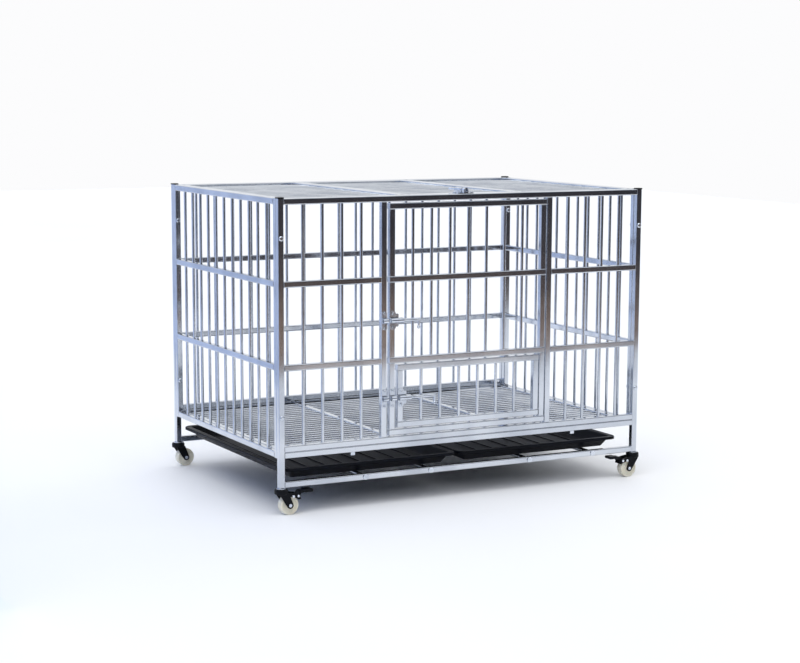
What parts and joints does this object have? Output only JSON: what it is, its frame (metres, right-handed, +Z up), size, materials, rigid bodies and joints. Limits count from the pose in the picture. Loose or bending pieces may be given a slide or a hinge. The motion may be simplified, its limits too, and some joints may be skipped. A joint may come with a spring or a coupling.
{
  "type": "kennel cage",
  "caption": "Knock-down kennel cage of square tube and round bar with a main door, a feed door, a roof hatch, slide-out trays and swivel casters.",
  "frame": {"origin": "on the floor, under the middle of the whole cage's box", "axes": "+X along the length to the right seen from the front, -Y out of the door side, +Z up"},
  "size_m": [1.12, 0.7524, 0.8205],
  "materials": {
    "black_plastic": "moulded, satin",
    "stainless_bar": "bright drawn stainless bar",
    "stainless_tube": "bright polished stainless tube",
    "tray_plastic": "moulded polypropylene, slightly glossy",
    "wheel_nylon": "moulded nylon, fine crossed tread",
    "zinc_hardware": "bright plated steel"
  },
  "bodies": {
    "cage": {"caster_stems": "zinc_hardware", "corner_posts": "stainless_tube", "door_and_hatch_pivot_pins": "zinc_hardware", "feed_latch_keeper": "zinc_hardware", "floor_bars": "stainless_bar", "floor_frame": "stainless_tube", "front_bars": "stainless_bar", "front_jambs": "stainless_tube", "front_rails": "stainless_tube", "keeper_screws": "zinc_hardware", "left_side_bars": "stainless_bar", "left_side_frame": "stainless_tube", "lower_rails": "stainless_tube", "main_latch_keeper": "zinc_hardware", "panel_bolts": "zinc_hardware", "panel_nuts": "zinc_hardware", "post_caps": "black_plastic", "rear_bars": "stainless_bar", "rear_rails": "stainless_tube", "right_side_bars": "stainless_bar", "right_side_frame": "stainless_tube", "roof_bars": "stainless_bar", "roof_frame": "stainless_tube", "roof_latch_keeper": "zinc_hardware", "tray_hooks": "zinc_hardware", "tray_rod_caps": "zinc_hardware", "tray_rods": "stainless_bar"},
    "main_door": {"main_door_frame": "stainless_tube", "main_door_bars": "stainless_bar", "main_latch_plate": "zinc_hardware", "feed_door_keeper": "zinc_hardware", "feed_door_pivot_pins": "zinc_hardware", "main_door_latch_screws": "zinc_hardware"},
    "main_latch_slider": {"main_latch_bolt": "zinc_hardware"},
    "feed_door": {"feed_door_frame": "stainless_tube", "feed_door_bars": "stainless_bar", "feed_latch_plate": "zinc_hardware", "feed_latch_screws": "zinc_hardware"},
    "feed_latch_slider": {"feed_latch_bolt": "zinc_hardware"},
    "roof_hatch": {"roof_hatch_frame": "stainless_tube", "roof_hatch_bars": "stainless_bar", "roof_latch_plate": "zinc_hardware", "roof_latch_screws": "zinc_hardware"},
    "roof_latch_slider": {"roof_latch_bolt": "zinc_hardware"},
    "left_tray": {"left_tray": "tray_plastic"},
    "right_tray": {"right_tray": "tray_plastic"},
    "front_left_caster": {"front_left_fork": "black_plastic", "front_left_axle": "zinc_hardware"},
    "front_left_wheel": {"front_left_wheel": "wheel_nylon"},
    "front_left_brake": {"front_left_brake": "black_plastic"},
    "front_right_caster": {"front_right_fork": "black_plastic", "front_right_axle": "zinc_hardware"},
    "front_right_wheel": {"front_right_wheel": "wheel_nylon"},
    "front_right_brake": {"front_right_brake": "black_plastic"},
    "rear_left_caster": {"rear_left_fork": "black_plastic", "rear_left_axle": "zinc_hardware"},
    "rear_left_wheel": {"rear_left_wheel": "wheel_nylon"},
    "rear_right_caster": {"rear_right_fork": "black_plastic", "rear_right_axle": "zinc_hardware"},
    "rear_right_wheel": {"rear_right_wheel": "wheel_nylon"}
  },
  "joints": [
    {"name": "main_door_hinge", "type": "hinge", "parent": "cage", "child": "main_door", "pos_m": [0.235, -0.35675, 0.484], "axis": [0, 0, 1], "range_deg": [0, 100]},
    {"name": "main_latch_slide", "type": "slide", "parent": "main_door", "child": "main_latch_slider", "axis": [-1, 0, 0], "range_m": [0, 0.042]},
    {"name": "feed_door_hinge", "type": "hinge", "parent": "main_door", "child": "feed_door", "pos_m": [0.216, -0.35675, 0.2835], "axis": [0, 0, 1], "range_deg": [0, 75]},
    {"name": "feed_latch_slide", "type": "slide", "parent": "feed_door", "child": "feed_latch_slider", "axis": [-1, 0, 0], "range_m": [0, 0.066]},
    {"name": "roof_hatch_hinge", "type": "hinge", "parent": "cage", "child": "roof_hatch", "pos_m": [0, 0.32575, 0.801], "axis": [-1, 0, 0], "range_deg": [0, 100]},
    {"name": "roof_latch_slide", "type": "slide", "parent": "roof_hatch", "child": "roof_latch_slider", "axis": [0, -1, 0], "range_m": [0, 0.028]},
    {"name": "left_tray_slide", "type": "slide", "parent": "cage", "child": "left_tray", "axis": [0, -1, 0], "range_m": [0, 0.6]},
    {"name": "right_tray_slide", "type": "slide", "parent": "cage", "child": "right_tray", "axis": [0, -1, 0], "range_m": [0, 0.6]},
    {"name": "front_left_swivel", "type": "hinge", "parent": "cage", "child": "front_left_caster", "pos_m": [-0.542, -0.35375, 0.0542], "axis": [0, 0, 1], "continuous": true},
    {"name": "front_left_roll", "type": "hinge", "parent": "front_left_caster", "child": "front_left_wheel", "pos_m": [-0.523, -0.35375, 0.025], "axis": [0, 1, 0], "continuous": true},
    {"name": "front_left_brake_press", "type": "hinge", "parent": "front_left_caster", "child": "front_left_brake", "pos_m": [-0.5005, -0.35375, 0.048], "axis": [0, 1, 0], "range_deg": [0, 6]},
    {"name": "front_right_swivel", "type": "hinge", "parent": "cage", "child": "front_right_caster", "pos_m": [0.542, -0.35375, 0.0542], "axis": [0, 0, 1], "continuous": true},
    {"name": "front_right_roll", "type": "hinge", "parent": "front_right_caster", "child": "front_right_wheel", "pos_m": [0.523, -0.35375, 0.025], "axis": [0, 1, 0], "continuous": true},
    {"name": "front_right_brake_press", "type": "hinge", "parent": "front_right_caster", "child": "front_right_brake", "pos_m": [0.5005, -0.35375, 0.048], "axis": [0, -1, 0], "range_deg": [0, 6]},
    {"name": "rear_left_swivel", "type": "hinge", "parent": "cage", "child": "rear_left_caster", "pos_m": [-0.542, 0.35825, 0.0542], "axis": [0, 0, 1], "continuous": true},
    {"name": "rear_left_roll", "type": "hinge", "parent": "rear_left_caster", "child": "rear_left_wheel", "pos_m": [-0.523, 0.35825, 0.025], "axis": [0, 1, 0], "continuous": true},
    {"name": "rear_right_swivel", "type": "hinge", "parent": "cage", "child": "rear_right_caster", "pos_m": [0.542, 0.35825, 0.0542], "axis": [0, 0, 1], "continuous": true},
    {"name": "rear_right_roll", "type": "hinge", "parent": "rear_right_caster", "child": "rear_right_wheel", "pos_m": [0.523, 0.35825, 0.025], "axis": [0, 1, 0], "continuous": true}
  ]
}
